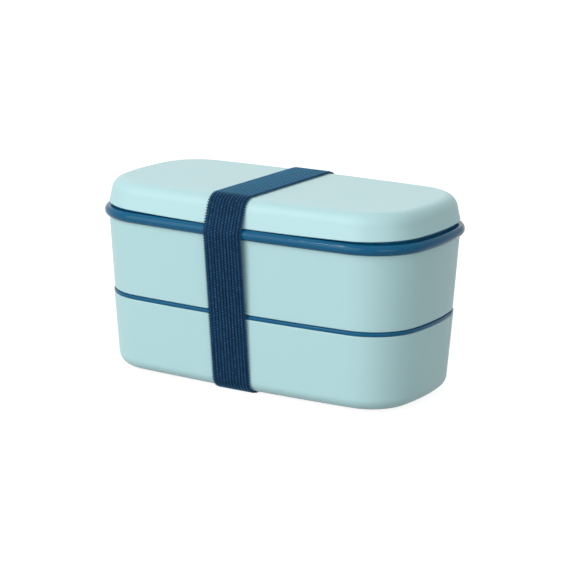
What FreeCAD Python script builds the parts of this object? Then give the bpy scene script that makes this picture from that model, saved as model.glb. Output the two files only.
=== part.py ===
import FreeCAD, Part
import math
import os
import re
import Sketcher

# Two-tier bento lunch box: two food boxes, each with its own seal lid, a cover and an elastic band.
# The frame: +X along the box, +Y to the back, +Z up. The origin is under the middle of the box,
# on the surface that it stands on, which the band's lower run touches.
# Every outline of the box is parallel to one bowed outline, just outside the seam between the tiers.
# An "outset" is a distance outside that outline, and an "inset" a distance inside it.

driving_sizes = {
    # the bowed outline
    "box_length": 180.0,
    "box_width": 88.4,
    "corner_radius": 27.8,
    "end_bow_radius": 123.0,
    "side_bow_radius": 1075.0,
    # mouldings in common
    "wall": 2.2,
    "floor_plate": 2.2,
    "floor_bevel": 2.5,
    "slip": 0.3,
    "seat_gap": 0.1,
    # elastic band
    "band_width": 21.8,
    "band_thickness": 1.0,
    "band_shift": -4.0,
    "band_gap": 0.2,
    # lower tier
    "lower_height": 38.65,
    "lower_foot_inset": 3.7,
    "lower_rim_inset": 0.76,
    "lower_foot_radius": 4.8,
    "recess_depth": 0.8,
    "recess_margin": 2.5,
    # lower lid, whose rim is the thin line between the tiers
    "seam_height": 2.25,
    "seam_inset": 0.7,
    "seam_bevel": 0.4,
    "seam_gap": 0.35,
    "seam_seat_inset": 1.9,
    "lower_lid_ledge_inset": 6.2,
    "lower_lid_recess": 2.25,
    # upper tier
    "upper_height": 41.0,
    "upper_foot_inset": 1.1,
    "upper_rim_outset": 1.56,
    "upper_step_depth": 2.0,
    # inner lid, with the thick round rim
    "bead_radius": 3.0,
    "bead_outset": 0.85,
    "bead_drop": 0.25,
    "bead_cut": 0.3,
    "upstand_inset": 0.95,
    "upstand_thickness": 1.65,
    "upstand_height": 3.35,
    # skirts and seals of both lids
    "skirt_depth": 4.85,
    "skirt_thickness": 2.75,
    "skirt_taper": 0.45,
    "panel": 1.8,
    "groove_depth": 1.25,
    "groove_height": 2.4,
    "groove_lift": 1.4,
    "seal_play": 0.05,
    # cover
    "cover_lift": 0.35,
    "cover_height": 14.1,
    "cover_foot_outset": 1.5,
    "cover_top_inset": 1.14,
    "cover_shoulder_radius": 7.25,
    "cover_foot_wall": 2.05,
    "cover_arch": 1.5,
    "cover_ledge_inset": 2.4,
    "cover_ceiling_bevel": 3.0,
    # dividers
    "divider_web": 1.6,
    "divider_frame": 8.0,
    "divider_edge": 1.5,
    "divider_side_gap": 1.2,
    "divider_corner": 5.0,
    "divider_place": 18.0,
}

# Heights above the standing surface and insets, worked out from the driving sizes.
base = "(band_thickness + band_gap)"
lower_rim = f"({base} + lower_height)"
seam_top = f"({lower_rim} + seam_height)"
upper_rim = f"({seam_top} + upper_height)"
bead_level = f"({upper_rim} - bead_drop)"
upstand_top = f"({bead_level} + bead_radius + upstand_height)"
cover_foot = f"({bead_level} + bead_radius + cover_lift)"
cover_top = f"({cover_foot} + cover_height)"
lower_draft = "((lower_foot_inset - lower_rim_inset) / lower_height)"
upper_draft = "((upper_foot_inset + upper_rim_outset) / upper_height)"
lower_mouth = "(-lower_rim_inset - wall)"
upper_mouth = "(upper_rim_outset - wall)"
lower_floor = f"({base} + floor_plate)"
upper_step_foot = f"({seam_top} - upper_step_depth)"
upper_floor = f"({upper_step_foot} + floor_plate)"
slot_top = f"({upper_rim} + slip)"
cover_lean = "((cover_foot_outset + cover_top_inset) / cover_height)"

doc = FreeCAD.newDocument("bento_lunch_box")
sheet = doc.addObject("Spreadsheet::Sheet", "dims")
for row, (name, value) in enumerate(driving_sizes.items(), start=1):
    sheet.set(f"A{row}", str(value))
    sheet.setAlias(f"A{row}", name)
doc.recompute()


def size(rule):
    # the number that a rule written with the sheet's names comes to
    return float(sheet.evalExpression(str(rule)))


def bind(target, path, rule):
    # ties a property to the sheet, so that the piece follows its driving sizes
    def linked(word):
        return f"dims.{word[0]}" if word[0] in driving_sizes else word[0]

    target.setExpression(path, re.sub(r"[a-z_]+", linked, str(rule)))


def new_body(label):
    body = doc.addObject("PartDesign::Body", label)
    body.Label = label
    return body


def new_sketch(body, name, role, level="0"):
    # a sketch on one of the body's own origin planes, moved along the plane's normal to its level
    sketch = body.newObject("Sketcher::SketchObject", name)
    plane = next(item for item in body.Origin.OriginFeatures if item.Role == role)
    sketch.AttachmentSupport = [(plane, "")]
    sketch.MapMode = "FlatFace"
    bind(sketch, "AttachmentOffset.Base.z", level)
    return sketch


def constrain(sketch, kind, *where, rule):
    index = sketch.addConstraint(Sketcher.Constraint(kind, *where, size(rule)))
    bind(sketch, f"Constraints[{index}]", rule)


def point(place):
    return FreeCAD.Vector(size(place[0]), size(place[1]), 0)


def bowed_outline(body, name, level, outset):
    # eight tangent arcs: two bowed ends, two bowed sides and four corners, all pushed out by the outset
    half_length = size("box_length / 2")
    half_width = size("box_width / 2")
    end_middle = half_length - size("end_bow_radius")
    side_middle = half_width - size("side_bow_radius")
    up = FreeCAD.Vector(0, 0, 1)
    end_rest = size("end_bow_radius - corner_radius")
    side_rest = size("side_bow_radius - corner_radius")
    inside_end = Part.Circle(FreeCAD.Vector(end_middle, 0, 0), up, end_rest)
    inside_side = Part.Circle(FreeCAD.Vector(0, side_middle, 0), up, side_rest)
    meets = [FreeCAD.Vector(p.X, p.Y, p.Z) for p in inside_end.intersectCC(inside_side)]
    corner = next(p for p in meets if p.x > 0 and p.y > 0)
    end_turn = math.atan2(corner.y, corner.x - end_middle)
    side_turn = math.atan2(corner.y - side_middle, corner.x)
    spans = [
        (end_middle, 0, "end_bow_radius", -end_turn, end_turn),
        (corner.x, corner.y, "corner_radius", end_turn, side_turn),
        (0, side_middle, "side_bow_radius", side_turn, math.pi - side_turn),
        (-corner.x, corner.y, "corner_radius", math.pi - side_turn, math.pi - end_turn),
        (-end_middle, 0, "end_bow_radius", math.pi - end_turn, math.pi + end_turn),
        (-corner.x, -corner.y, "corner_radius", math.pi + end_turn, math.pi + side_turn),
        (0, -side_middle, "side_bow_radius", math.pi + side_turn, 2 * math.pi - side_turn),
        (corner.x, -corner.y, "corner_radius", 2 * math.pi - side_turn, 2 * math.pi - end_turn),
    ]
    sketch = new_sketch(body, name, "XY_Plane", level)
    for x, y, radius, start, stop in spans:
        circle = Part.Circle(FreeCAD.Vector(x, y, 0), up, size(f"{radius} + {outset}"))
        sketch.addGeometry(Part.ArcOfCircle(circle, start, stop))
    for arc in range(len(spans)):
        sketch.addConstraint(Sketcher.Constraint("Tangent", arc, 2, (arc + 1) % len(spans), 1))
    for first, others in ((0, (4,)), (2, (6,)), (1, (3, 5, 7))):
        for other in others:
            sketch.addConstraint(Sketcher.Constraint("Equal", first, other))
        constrain(sketch, "Radius", first, rule=f"{spans[first][2]} + {outset}")
    for end, side in ((0, 1), (4, -1)):
        middle = f"{side} * (box_length / 2 - end_bow_radius)"
        sketch.addConstraint(Sketcher.Constraint("PointOnObject", end, 3, -1))
        constrain(sketch, "DistanceX", -1, 1, end, 3, rule=middle)
    for long_side, side in ((2, 1), (6, -1)):
        middle = f"{side} * (box_width / 2 - side_bow_radius)"
        sketch.addConstraint(Sketcher.Constraint("PointOnObject", long_side, 3, -2))
        constrain(sketch, "DistanceY", -1, 1, long_side, 3, rule=middle)
    return sketch


def drawn_section(body, name, role, corners, arcs, level="0"):
    # a closed profile through its corners; an arc is given by the point that it passes and its radius
    sketch = new_sketch(body, name, role, level)
    places = [point(corner) for corner in corners]
    ends = []
    for edge, start in enumerate(places):
        stop = places[(edge + 1) % len(places)]
        if edge not in arcs:
            sketch.addGeometry(Part.LineSegment(start, stop))
            ends.append((1, 2))
            continue
        middle = point(arcs[edge][:2])
        turns_left = (middle - start).cross(stop - middle).z > 0
        first, last = (start, stop) if turns_left else (stop, start)
        sketch.addGeometry(Part.Arc(first, middle, last))
        ends.append((1, 2) if turns_left else (2, 1))
    for edge in range(len(places)):
        following = (edge + 1) % len(places)
        joint = (edge, ends[edge][1], following, ends[following][0])
        sketch.addConstraint(Sketcher.Constraint("Coincident", *joint))
    for edge, (across, along) in enumerate(corners):
        constrain(sketch, "DistanceX", -1, 1, edge, ends[edge][0], rule=across)
        constrain(sketch, "DistanceY", -1, 1, edge, ends[edge][0], rule=along)
        if edge in arcs:
            constrain(sketch, "Radius", edge, rule=arcs[edge][2])
    return sketch


def rim_section(body, name, corners, arcs):
    # a section of a rim, drawn at the middle of the box's end, with its places given as outsets
    def at_end(outset):
        return f"box_length / 2 + {outset}"

    placed = [(at_end(outset), level) for outset, level in corners]
    curves = {edge: (at_end(outset), level, radius) for edge, (outset, level, radius) in arcs.items()}
    return drawn_section(body, name, "XZ_Plane", placed, curves)


def pipe(body, name, section, path):
    feature = body.newObject("PartDesign::AdditivePipe", name)
    feature.Profile = section
    feature.Spine = (path, [f"Edge{edge + 1}" for edge in range(path.GeometryCount)])
    doc.recompute()
    return feature


def extrude(body, kind, name, sketch, length, taper="0", symmetric=False, flip=False):
    # a pad or a pocket; a taper above 0 widens it along the way that it goes
    feature = body.newObject(f"PartDesign::{kind}", name)
    feature.Profile = sketch
    bind(feature, "Length", length)
    bind(feature, "TaperAngle", taper)
    feature.SideType = "Symmetric" if symmetric else "One side"
    feature.Reversed = flip
    doc.recompute()
    return feature


def ease_level(body, kind, name, feature, level, amount):
    # rounds or bevels every edge of a feature that lies flat at one level
    height = size(level)
    flat = []
    for number, edge in enumerate(feature.Shape.Edges, start=1):
        box = edge.BoundBox
        if abs(box.ZMin - height) < 0.01 and abs(box.ZMax - height) < 0.01:
            flat.append(f"Edge{number}")
    eased = body.newObject(f"PartDesign::{kind}", name)
    eased.Base = (feature, flat)
    bind(eased, "Radius" if kind == "Fillet" else "Size", amount)
    doc.recompute()
    return eased


def must_cut(feature, before):
    # a cut that points away from the piece takes nothing off it
    if feature.Shape.Volume > before - 1:
        raise RuntimeError(f"{feature.Label} cuts nothing")


def hollow_out(body, label, block, mouth, rim, floor, draft):
    # takes the food space out of a block, with walls that follow its draft and a bevel at the floor
    opening = bowed_outline(body, f"{label}_mouth", rim, mouth)
    hollow = extrude(body, "Pocket", f"{label}_hollow", opening, f"{rim} - {floor}", f"-atan({draft})")
    must_cut(hollow, block.Shape.Volume)
    return ease_level(body, "Chamfer", f"{label}_floor_bevel", hollow, floor, "floor_bevel")


def make_lower_tier():
    body = new_body("lower_tier")
    foot = bowed_outline(body, "lower_foot", base, "-lower_foot_inset")
    block = extrude(body, "Pad", "lower_block", foot, "lower_height", f"atan({lower_draft})")
    block = ease_level(body, "Fillet", "lower_foot_round", block, base, "lower_foot_radius")
    hollow = hollow_out(body, "lower", block, lower_mouth, lower_rim, lower_floor, lower_draft)
    recess_inset = "-(lower_foot_inset + lower_foot_radius + recess_margin)"
    recess = bowed_outline(body, "lower_recess_outline", base, recess_inset)
    foot_ring = extrude(body, "Pocket", "lower_foot_ring", recess, "recess_depth", flip=True)
    must_cut(foot_ring, hollow.Shape.Volume)
    return body


def make_upper_tier():
    # its floor steps down into the lower lid, so that the stack can't shift
    body = new_body("upper_tier")
    foot = bowed_outline(body, "upper_foot", seam_top, "-upper_foot_inset")
    extrude(body, "Pad", "upper_block", foot, "upper_height", f"atan({upper_draft})")
    step_inset = "-(lower_lid_ledge_inset + slip + seat_gap)"
    step = bowed_outline(body, "upper_step_outline", upper_step_foot, step_inset)
    block = extrude(body, "Pad", "upper_step", step, "upper_step_depth + floor_plate")
    hollow_out(body, "upper", block, upper_mouth, upper_rim, upper_floor, upper_draft)
    return body


def skirt_and_groove(mouth, level):
    # corners of a skirt that plugs a tier's mouth, from the mouth's edge down, with the seal's groove
    outer = f"({mouth} - slip - seat_gap)"
    foot = f"({level} - skirt_depth)"

    def face(height):
        return f"({outer} - skirt_taper * ({level} - {height}) / skirt_depth)"

    groove_foot = f"({foot} + groove_lift)"
    groove_top = f"({groove_foot} + groove_height)"
    return [
        (outer, level),
        (face(groove_top), groove_top),
        (f"({outer} - groove_depth)", groove_top),
        (f"({outer} - groove_depth)", groove_foot),
        (face(groove_foot), groove_foot),
        (face(foot), foot),
        (f"({outer} - skirt_thickness)", foot),
    ]


def seal_section(body, name, mouth, level):
    # a silicone ring in the groove, flat at the back, with a pointed lip towards the tier's wall
    outer = f"({mouth} - slip - seat_gap)"
    foot = f"({level} - skirt_depth + groove_lift + seal_play)"
    top = f"({foot} + groove_height - 2 * seal_play)"
    middle = f"({foot} + groove_height / 2 - seal_play)"
    back = f"({outer} - groove_depth + seal_play)"
    cheek = f"({outer} - groove_depth / 2)"
    lip = f"({outer} - skirt_taper / 2)"
    corners = [(back, foot), (cheek, foot), (lip, middle), (cheek, top), (back, top)]
    return rim_section(body, name, corners, {})


def make_lower_lid():
    # the tier above rests inside the rim's edge, so a narrow gap runs along the top of the rim
    body = new_body("lower_lid")
    path = bowed_outline(body, "lower_lid_path", "0", "0")
    panel_top = f"({seam_top} - lower_lid_recess)"
    panel_foot = f"({panel_top} - panel)"
    skirt = skirt_and_groove(lower_mouth, lower_rim)
    skirt_inner = skirt[-1][0]
    tongue = f"({skirt_inner} - wall)"
    seam_edge = "-(seam_inset + seam_bevel)"
    lip_top = f"({seam_top} - seam_gap)"
    corners = [
        ("-seam_seat_inset", seam_top),
        ("-lower_lid_ledge_inset", seam_top),
        ("-lower_lid_ledge_inset", panel_top),
        (tongue, panel_top),
        (tongue, panel_foot),
        (skirt_inner, panel_foot),
        *reversed(skirt),
        (seam_edge, lower_rim),
        ("-seam_inset", f"({lower_rim} + seam_bevel)"),
        ("-seam_inset", f"({lip_top} - seam_bevel)"),
        (seam_edge, lip_top),
        ("-seam_seat_inset", lip_top),
    ]
    section = rim_section(body, "lower_lid_section", corners, {})
    pipe(body, "lower_lid_rim", section, path)
    panel = bowed_outline(body, "lower_lid_panel_outline", panel_foot, f"{tongue} + wall / 2")
    extrude(body, "Pad", "lower_lid_panel", panel, "panel")
    return body


def make_inner_lid():
    body = new_body("inner_lid")
    path = bowed_outline(body, "inner_lid_path", "0", "0")
    slot_out = "(upper_rim_outset + slip)"
    lip_foot = f"({bead_level} - bead_radius + bead_cut)"
    lip_reach = "(bead_outset + sqrt(bead_radius^2 - (bead_radius - bead_cut)^2))"
    crest = f"({bead_level} + bead_radius)"
    skirt = skirt_and_groove(upper_mouth, slot_top)
    skirt_inner = skirt[-1][0]
    panel_foot = f"({slot_top} - skirt_depth + groove_lift + groove_height)"
    panel_top = f"({panel_foot} + panel)"
    upstand_inner = "-(upstand_inset + upstand_thickness)"
    tongue = f"({skirt_inner} - wall)"
    corners = [
        ("bead_outset", crest),
        ("-upstand_inset", crest),
        ("-upstand_inset", upstand_top),
        (upstand_inner, upstand_top),
        (upstand_inner, panel_top),
        (tongue, panel_top),
        (tongue, panel_foot),
        (skirt_inner, panel_foot),
        *reversed(skirt),
        (slot_out, slot_top),
        (slot_out, lip_foot),
        (lip_reach, lip_foot),
    ]
    rim = {len(corners) - 1: ("bead_outset + bead_radius", bead_level, "bead_radius")}
    section = rim_section(body, "inner_lid_section", corners, rim)
    pipe(body, "inner_lid_rim", section, path)
    panel = bowed_outline(body, "inner_lid_panel_outline", panel_foot, f"{tongue} + wall / 2")
    extrude(body, "Pad", "inner_lid_panel", panel, "panel")
    return body


def make_seal(label, mouth, level):
    body = new_body(label)
    path = bowed_outline(body, f"{label}_path", "0", "0")
    section = seal_section(body, f"{label}_section", mouth, level)
    pipe(body, f"{label}_ring", section, path)
    return body


def make_outer_lid():
    body = new_body("outer_lid")
    ceiling = f"({cover_top} - wall)"
    lean = f"-atan({cover_lean})"
    foot = bowed_outline(body, "cover_foot", cover_foot, "cover_foot_outset")
    block = extrude(body, "Pad", "cover_block", foot, "cover_height", lean)
    block = ease_level(body, "Fillet", "cover_shoulder", block, cover_top, "cover_shoulder_radius")
    mouth = bowed_outline(body, "cover_mouth", cover_foot, "cover_foot_outset - cover_foot_wall")
    seat = extrude(body, "Pocket", "cover_seat", mouth, f"{upstand_top} - {cover_foot}", flip=True)
    must_cut(seat, block.Shape.Volume)
    ledge = bowed_outline(body, "cover_ledge", upstand_top, "-cover_ledge_inset")
    depth = f"{ceiling} - {upstand_top}"
    hollow = extrude(body, "Pocket", "cover_hollow", ledge, depth, lean, flip=True)
    must_cut(hollow, seat.Shape.Volume)
    hollow = ease_level(body, "Chamfer", "cover_ceiling_bevel", hollow, ceiling, "cover_ceiling_bevel")
    reach = "(box_length / 2 + cover_foot_outset)"
    rise = f"({cover_foot} + cover_arch)"
    arch_radius = f"({reach}^2 + cover_arch^2) / (2 * cover_arch)"
    corners = [(f"-{reach}", rise), (f"-{reach}", bead_level), (reach, bead_level), (reach, rise)]
    bow = {3: ("0", cover_foot, arch_radius)}
    arch = drawn_section(body, "cover_arch_outline", "XZ_Plane", corners, bow)
    edge = extrude(body, "Pocket", "cover_arched_edge", arch, "2 * box_width", symmetric=True)
    must_cut(edge, hollow.Shape.Volume)
    return body


def make_divider(label, mouth, rim, floor, draft):
    # a partition with a framed edge that keeps it upright; its sides follow the tier's drafted walls
    body = new_body(label)
    foot = f"({floor} + seat_gap)"
    head = f"({rim} - skirt_depth - 2 * slip)"

    def outline(name, edge, top, level):
        low = f"({foot} + {edge})"
        bend = f"({low} + divider_corner)"
        pull = "divider_corner * (1 - sqrt(0.5))"

        def half_at(height):
            wall_place = f"box_width / 2 + {mouth} - {draft} * ({rim} - {height})"
            return f"({wall_place} - divider_side_gap - {edge})"

        flat_half = f"({half_at(bend)} - divider_corner)"
        corners = [
            (half_at(top), top),
            (f"-{half_at(top)}", top),
            (f"-{half_at(bend)}", bend),
            (f"-{flat_half}", low),
            (flat_half, low),
            (half_at(bend), bend),
        ]
        left = (f"-({half_at(bend)} - {pull})", f"{low} + {pull}", "divider_corner")
        right = (f"{half_at(bend)} - {pull}", f"{low} + {pull}", "divider_corner")
        return drawn_section(body, name, "YZ_Plane", corners, {2: left, 4: right}, level)

    frame = outline(f"{label}_outline", "0", head, "divider_place")
    block = extrude(body, "Pad", f"{label}_frame", frame, "divider_frame", symmetric=True)
    for side, turn in (("right", 1), ("left", -1)):
        level = f"divider_place + {turn} * divider_frame / 2"
        window = outline(f"{label}_{side}_window", "divider_edge", f"({head} + divider_edge)", level)
        depth = "(divider_frame - divider_web) / 2"
        face = extrude(body, "Pocket", f"{label}_{side}_face", window, depth, flip=turn < 0)
        must_cut(face, block.Shape.Volume)
        block = face
    return body


def make_elastic_band():
    # one loop of flat elastic: over the cover, taut from the thick rim to the foot, and under the base
    body = new_body("elastic_band")
    off = "(band_gap + band_thickness / 2)"
    shoulder = ("(box_width / 2 - cover_top_inset"
                f" + cover_shoulder_radius * ({cover_lean} - sqrt(1 + {cover_lean}^2)))")
    heel = ("(box_width / 2 - lower_foot_inset"
            f" + lower_foot_radius * ({lower_draft} - sqrt(1 + {lower_draft}^2)))")
    # each bend's centre and radius, from the cover down
    bends = [
        (shoulder, f"({cover_top} - cover_shoulder_radius)", f"(cover_shoulder_radius + {off})"),
        ("(box_width / 2 + bead_outset)", bead_level, f"(bead_radius + {off})"),
        (heel, f"({base} + lower_foot_radius)", f"(lower_foot_radius + {off})"),
    ]
    rounds = [(1, *bend) for bend in reversed(bends)] + [(-1, *bend) for bend in bends]
    path = new_sketch(body, "band_path", "YZ_Plane", "band_shift")
    middles = []
    reaches = []
    for side, across, level, radius in rounds:
        middles.append(FreeCAD.Vector(side * size(across), size(level), 0))
        reaches.append(size(radius))

    # the loop turns left all the way, so each straight run leaves its two bends on its left
    outward = []
    for bend in range(len(rounds)):
        after = (bend + 1) % len(rounds)
        run = middles[after] - middles[bend]
        heading = math.atan2(run.y, run.x) - math.pi / 2
        outward.append(heading + math.asin((reaches[bend] - reaches[after]) / run.Length))
    up = FreeCAD.Vector(0, 0, 1)
    for bend in range(len(rounds)):
        after = (bend + 1) % len(rounds)
        circle = Part.Circle(middles[bend], up, reaches[bend])
        path.addGeometry(Part.ArcOfCircle(circle, outward[bend - 1], outward[bend]))
        turn = FreeCAD.Vector(math.cos(outward[bend]), math.sin(outward[bend]), 0)
        path.addGeometry(Part.LineSegment(middles[bend] + turn * reaches[bend],
                                          middles[after] + turn * reaches[after]))
    edges = 2 * len(rounds)
    for edge in range(edges):
        path.addConstraint(Sketcher.Constraint("Tangent", edge, 2, (edge + 1) % edges, 1))
    for bend, (side, across, level, radius) in enumerate(rounds):
        constrain(path, "DistanceX", -1, 1, 2 * bend, 3, rule=f"{side} * {across}")
        constrain(path, "DistanceY", -1, 1, 2 * bend, 3, rule=level)
        constrain(path, "Radius", 2 * bend, rule=radius)
    left = "(band_shift - band_width / 2)"
    right = "(band_shift + band_width / 2)"
    under = f"({cover_top} + band_gap)"
    over = f"({under} + band_thickness)"
    corners = [(left, under), (right, under), (right, over), (left, over)]
    section = drawn_section(body, "band_section", "XZ_Plane", corners, {})
    pipe(body, "band_loop", section, path)
    return body


bodies = [
    make_lower_tier(),
    make_divider("lower_divider", lower_mouth, lower_rim, lower_floor, lower_draft),
    make_lower_lid(),
    make_seal("lower_lid_seal", lower_mouth, lower_rim),
    make_upper_tier(),
    make_divider("upper_divider", upper_mouth, upper_rim, upper_floor, upper_draft),
    make_inner_lid(),
    make_seal("inner_lid_seal", upper_mouth, slot_top),
    make_outer_lid(),
    make_elastic_band(),
]

doc.recompute()
for item in doc.Objects:
    if "Invalid" in item.State or "Error" in item.State:
        raise RuntimeError(f"{item.Label} failed: {item.State}")
for body in bodies:
    if body.Shape.isNull() or not body.Shape.isValid():
        raise RuntimeError(f"{body.Label} has no valid shape")

os.makedirs("parts", exist_ok=True)
for body in bodies:
    body.Shape.exportStep(f"parts/{body.Label}.step")
    box = body.Shape.BoundBox
    print(f"{body.Label}: {body.Shape.Volume / 1000:.1f} cm3, z {box.ZMin:.2f} to {box.ZMax:.2f}, "
          f"{box.XLength:.2f} x {box.YLength:.2f}, solids {len(body.Shape.Solids)}")
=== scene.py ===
import math

import bmesh
import bpy
from mathutils import Matrix, Vector
from mathutils.geometry import intersect_sphere_sphere_2d


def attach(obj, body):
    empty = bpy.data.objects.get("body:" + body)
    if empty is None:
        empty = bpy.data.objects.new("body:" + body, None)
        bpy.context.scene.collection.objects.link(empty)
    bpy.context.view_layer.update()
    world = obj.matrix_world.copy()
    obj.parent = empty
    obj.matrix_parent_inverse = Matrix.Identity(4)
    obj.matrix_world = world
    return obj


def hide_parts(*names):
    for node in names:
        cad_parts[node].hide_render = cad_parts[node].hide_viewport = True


# Two-tier lunch box with seal lids, a cover and an elastic band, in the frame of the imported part.
# Sizes are in millimetres until a mesh is made, and those of the lamps and the floor are in metres.
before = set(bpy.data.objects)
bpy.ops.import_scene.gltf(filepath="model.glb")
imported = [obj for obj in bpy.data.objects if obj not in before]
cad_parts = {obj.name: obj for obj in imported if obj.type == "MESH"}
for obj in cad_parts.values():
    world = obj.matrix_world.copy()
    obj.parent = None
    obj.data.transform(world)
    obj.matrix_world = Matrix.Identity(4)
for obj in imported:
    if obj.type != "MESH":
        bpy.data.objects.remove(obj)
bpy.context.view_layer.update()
scene = bpy.context.scene
mm = 0.001
print("frame loaded:", len(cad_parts), "nodes")


def mathNode(nodes, links, operation, *values):
    # each value is a number or the output of another node
    node = nodes.new("ShaderNodeMath")
    node.operation = operation
    for slot, value in enumerate(values):
        if isinstance(value, (int, float)):
            node.inputs[slot].default_value = value
        else:
            links.new(value, node.inputs[slot])
    return node.outputs[0]


def startMaterial(name, values):
    # the values that hold all over a material stay on its shader
    material = bpy.data.materials.new(name)
    material.use_nodes = True
    nodes, links = material.node_tree.nodes, material.node_tree.links
    shader = nodes["Principled BSDF"]
    for label, value in values.items():
        shader.inputs[label].default_value = value
    return material, nodes, links, shader


# camera and light

view = {
    "target": (2.26, 0.0, 47.96),
    "azimuth": 31.29,
    "elevation": 13.98,
    "roll": 0.591,
    "distance": 1110.67,
    "lens": 137.25,
    "sensor": 36.0,
    "clip": (50.0, 50000.0),
}


def makeCamera():
    azimuth, elevation, roll = (math.radians(view[key]) for key in ("azimuth", "elevation", "roll"))
    flat = math.cos(elevation)
    back = Vector((math.sin(azimuth) * flat, -math.cos(azimuth) * flat, math.sin(elevation)))
    right = Vector((math.cos(azimuth), math.sin(azimuth), 0))
    up = back.cross(right)
    rolledRight = right * math.cos(roll) + up * math.sin(roll)
    rolledUp = up * math.cos(roll) - right * math.sin(roll)
    data = bpy.data.cameras.new("photoCamera")
    data.lens = view["lens"]
    data.sensor_width = view["sensor"]
    data.clip_start, data.clip_end = (end * mm for end in view["clip"])
    camera = bpy.data.objects.new("photoCamera", data)
    place = (Vector(view["target"]) + back * view["distance"]) * mm
    turn = Matrix((rolledRight, rolledUp, back)).transposed().to_4x4()
    camera.matrix_world = Matrix.Translation(place) @ turn
    scene.collection.objects.link(camera)
    scene.camera = camera


studio = {
    "lamps": {
        "keyLamp": {"place": (-0.8, -2.1, 0.95), "size": 2.4, "power": 47.5},
        "smallLamp": {"place": (-0.97, -1.6, 2.0), "size": 0.35, "power": 9.0},
        "fillLamp": {"place": (2.0, -1.4, 0.6), "size": 1.2, "power": 11.0},
        "backLamp": {"place": (-1.2, 2.1, 1.7), "size": 2.0, "power": 12.0},
    },
    "lampAim": (0, 0, 0.05),
    "worldLight": 0.42,
    "floorSize": 30.0,
    "floorGlow": 0.88,
    "floorShader": {"Base Color": (0.32, 0.32, 0.32, 1), "Roughness": 0.9, "Specular IOR Level": 0.0,
                    "Emission Color": (1, 1, 1, 1)},
}


def makeLamps():
    for name, lamp in studio["lamps"].items():
        data = bpy.data.lights.new(name, "AREA")
        data.size = lamp["size"]
        data.energy = lamp["power"]
        lampObject = bpy.data.objects.new(name, data)
        place = Vector(lamp["place"])
        aim = Vector(studio["lampAim"]) - place
        lampObject.location = place
        lampObject.rotation_euler = aim.to_track_quat("-Z", "Y").to_euler()
        scene.collection.objects.link(lampObject)


def seenDirectly(nodes, links):
    # 1 for rays from the camera, a reflection or glass, 0 for light that falls on the object
    path = nodes.new("ShaderNodeLightPath").outputs
    camOrGloss = mathNode(nodes, links, "MAXIMUM", path["Is Camera Ray"], path["Is Glossy Ray"])
    return mathNode(nodes, links, "MAXIMUM", camOrGloss, path["Is Transmission Ray"])


def makeWorld():
    world = bpy.data.worlds.new("whiteStudio")
    scene.world = world
    world.use_nodes = True
    nodes, links = world.node_tree.nodes, world.node_tree.links
    background = nodes["Background"]
    background.inputs["Color"].default_value = (1, 1, 1, 1)
    strength = nodes.new("ShaderNodeMapRange")
    strength.inputs["To Min"].default_value = studio["worldLight"]
    strength.inputs["To Max"].default_value = 1.0
    links.new(seenDirectly(nodes, links), strength.inputs["Value"])
    links.new(strength.outputs["Result"], background.inputs["Strength"])


def makeFloor():
    half = studio["floorSize"] / 2
    corners = [(-half, -half, 0), (half, -half, 0), (half, half, 0), (-half, half, 0)]
    mesh = bpy.data.meshes.new("floor")
    mesh.from_pydata(corners, [], [(0, 1, 2, 3)])
    floor = bpy.data.objects.new("floor", mesh)
    scene.collection.objects.link(floor)
    material, nodes, links, shader = startMaterial("whiteFloor", studio["floorShader"])
    glow = mathNode(nodes, links, "MULTIPLY", seenDirectly(nodes, links), studio["floorGlow"])
    links.new(glow, shader.inputs["Emission Strength"])
    mesh.materials.append(material)


makeCamera()
makeLamps()
makeWorld()
makeFloor()
scene.view_settings.view_transform = "Standard"
print("studio set")


# materials

skinDetail = {"cloud": 3.0, "grain": 2.0}


def makeMouldedSkin():
    # faint cloudiness and the fine texture of a moulding tool, for every moulded piece
    group = bpy.data.node_groups.new("mouldedSkin", "ShaderNodeTree")
    face = group.interface
    for label in ("Cloud Size", "Tone Shift", "Roughness", "Roughness Shift", "Grain Size"):
        face.new_socket(label, in_out="INPUT", socket_type="NodeSocketFloat")
    face.new_socket("Colour", in_out="INPUT", socket_type="NodeSocketColor")
    face.new_socket("Colour", in_out="OUTPUT", socket_type="NodeSocketColor")
    face.new_socket("Roughness", in_out="OUTPUT", socket_type="NodeSocketFloat")
    face.new_socket("Height", in_out="OUTPUT", socket_type="NodeSocketFloat")
    nodes, links = group.nodes, group.links
    given = nodes.new("NodeGroupInput").outputs
    result = nodes.new("NodeGroupOutput").inputs
    place = nodes.new("ShaderNodeTexCoord")

    def noise(sizeLabel, detail):
        texture = nodes.new("ShaderNodeTexNoise")
        texture.inputs["Detail"].default_value = detail
        links.new(place.outputs["Object"], texture.inputs["Vector"])
        links.new(given[sizeLabel], texture.inputs["Scale"])
        return texture.outputs["Fac"]

    cloud = mathNode(nodes, links, "SUBTRACT", noise("Cloud Size", skinDetail["cloud"]), 0.5)
    tone = mathNode(nodes, links, "MULTIPLY_ADD", cloud, given["Tone Shift"], 1.0)
    shade = nodes.new("ShaderNodeVectorMath")
    shade.operation = "SCALE"
    links.new(given["Colour"], shade.inputs[0])
    links.new(tone, shade.inputs["Scale"])
    links.new(shade.outputs["Vector"], result["Colour"])
    rough = mathNode(nodes, links, "MULTIPLY_ADD", cloud, given["Roughness Shift"], given["Roughness"])
    links.new(rough, result["Roughness"])
    links.new(noise("Grain Size", skinDetail["grain"]), result["Height"])
    return group


mouldedSkin = makeMouldedSkin()


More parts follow.
